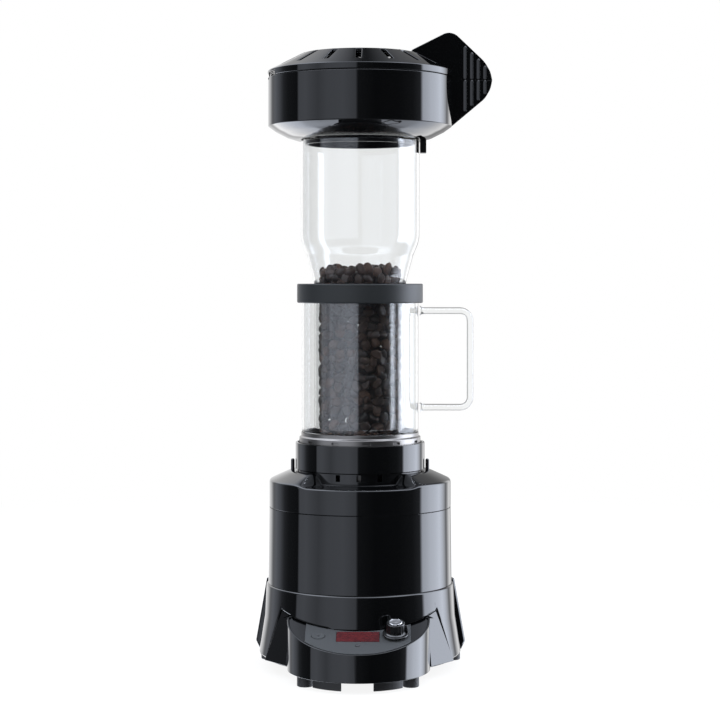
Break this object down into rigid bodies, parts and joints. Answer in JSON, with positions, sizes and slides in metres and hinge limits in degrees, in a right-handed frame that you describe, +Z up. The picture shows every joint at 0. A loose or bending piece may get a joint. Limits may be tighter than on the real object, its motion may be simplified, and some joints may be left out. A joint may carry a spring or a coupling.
{
  "type": "home coffee bean roaster",
  "caption": "Hot-air coffee bean roaster: round base with control pod, lift-off glass chamber with handle, glass extension tube and hinged chaff collector.",
  "frame": {"origin": "point of the counter straight under the roast axis", "axes": "+Z up along the roast axis, -Y towards the control pod, +X towards the glass handle"},
  "size_m": [0.1922, 0.2047, 0.5072],
  "materials": {
    "gloss_black": "moulded gloss black",
    "black_matte": "moulded matte black",
    "panel_grey": "printed satin grey film",
    "display_red": "red tinted display pane",
    "clear_glass": "clear borosilicate",
    "steel": "brushed stainless",
    "chrome": "polished",
    "silicone": "dark grey silicone",
    "rubber": "black rubber",
    "board_green": "circuit board",
    "electronics": "component bodies",
    "aluminium": "as sawn",
    "motor_iron": "plated steel",
    "mica": "mica sheet",
    "nichrome": "resistance wire",
    "mesh_steel": "fine woven mesh",
    "smoke_lens": "tinted light pipe"
  },
  "bodies": {
    "base": {"bottom_plate": "black_matte", "rubber_feet": "rubber", "base_skirt": "gloss_black", "rear_cover": "gloss_black", "main_shell": "gloss_black", "top_cap": "gloss_black", "chamber_seat": "steel", "seat_gasket": "silicone", "control_pod": "gloss_black", "panel_overlay": "panel_grey", "display_window": "display_red", "display_module": "electronics", "control_board": "board_green", "encoder_body": "electronics", "tact_switch": "electronics", "status_lens": "smoke_lens", "blower_housing": "black_matte", "motor_can": "motor_iron", "motor_end_cap": "black_matte", "motor_bearings": "steel", "motor_magnets": "motor_iron", "motor_spider": "steel", "heater_tube": "steel", "heater_coils": "nichrome", "heater_frame": "mica", "thermal_cutout": "electronics", "power_board": "board_green", "power_parts": "electronics", "heat_sink": "aluminium", "cord_gland": "black_matte", "housing_screws": "steel", "board_screws": "steel"},
    "rotor": {"motor_shaft": "steel", "fan_impeller": "black_matte", "rotor_core": "motor_iron", "impeller_nut": "steel"},
    "knob_carrier": {"encoder_plunger": "electronics"},
    "knob": {"encoder_shaft": "steel", "control_knob": "gloss_black", "knob_cap": "chrome"},
    "button": {"push_button": "gloss_black"},
    "chamber": {"chamber_glass": "clear_glass", "glass_handle": "clear_glass", "chamber_base_ring": "steel", "diffuser_plate": "steel", "chamber_gasket": "silicone"},
    "tube": {"extension_glass": "clear_glass", "silicone_collar": "silicone"},
    "collector": {"collector_bowl": "gloss_black", "chaff_chimney": "steel", "glass_clip": "gloss_black", "hinge_pin": "steel", "bowl_handle": "gloss_black", "bowl_screws": "steel"},
    "lid": {"collector_lid": "gloss_black", "lid_handle": "gloss_black", "filter_screen": "mesh_steel", "screen_retainer": "steel", "lid_screws": "steel"}
  },
  "joints": [
    {"name": "rotor_spin", "type": "hinge", "parent": "base", "child": "rotor", "pos_m": [0, 0, 0.08], "axis": [0, 0, 1], "continuous": true},
    {"name": "knob_push", "type": "slide", "parent": "base", "child": "knob_carrier", "axis": [0, 0.3007, -0.9537], "range_m": [0, 0.0008], "stiffness_N_per_m": 1500, "springref_m": -0.0006},
    {"name": "knob_turn", "type": "hinge", "parent": "knob_carrier", "child": "knob", "pos_m": [0.0285, -0.083, 0.0382], "axis": [0, -0.3007, 0.9537], "continuous": true},
    {"name": "button_press", "type": "slide", "parent": "base", "child": "button", "axis": [0, 0.3007, -0.9537], "range_m": [0, 0.001], "stiffness_N_per_m": 800, "springref_m": -0.0006},
    {"name": "chamber_lift", "type": "slide", "parent": "base", "child": "chamber", "axis": [0, 0, 1], "range_m": [0, 0.07]},
    {"name": "tube_lift", "type": "slide", "parent": "chamber", "child": "tube", "axis": [0, 0, 1], "range_m": [0, 0.125]},
    {"name": "collector_lift", "type": "slide", "parent": "tube", "child": "collector", "axis": [0, 0, 1], "range_m": [0, 0.05]},
    {"name": "lid_open", "type": "hinge", "parent": "collector", "child": "lid", "pos_m": [-0.06992, -0.01233, 0.46935], "axis": [0.1736, -0.9848, 0], "range_deg": [0, 100]}
  ]
}
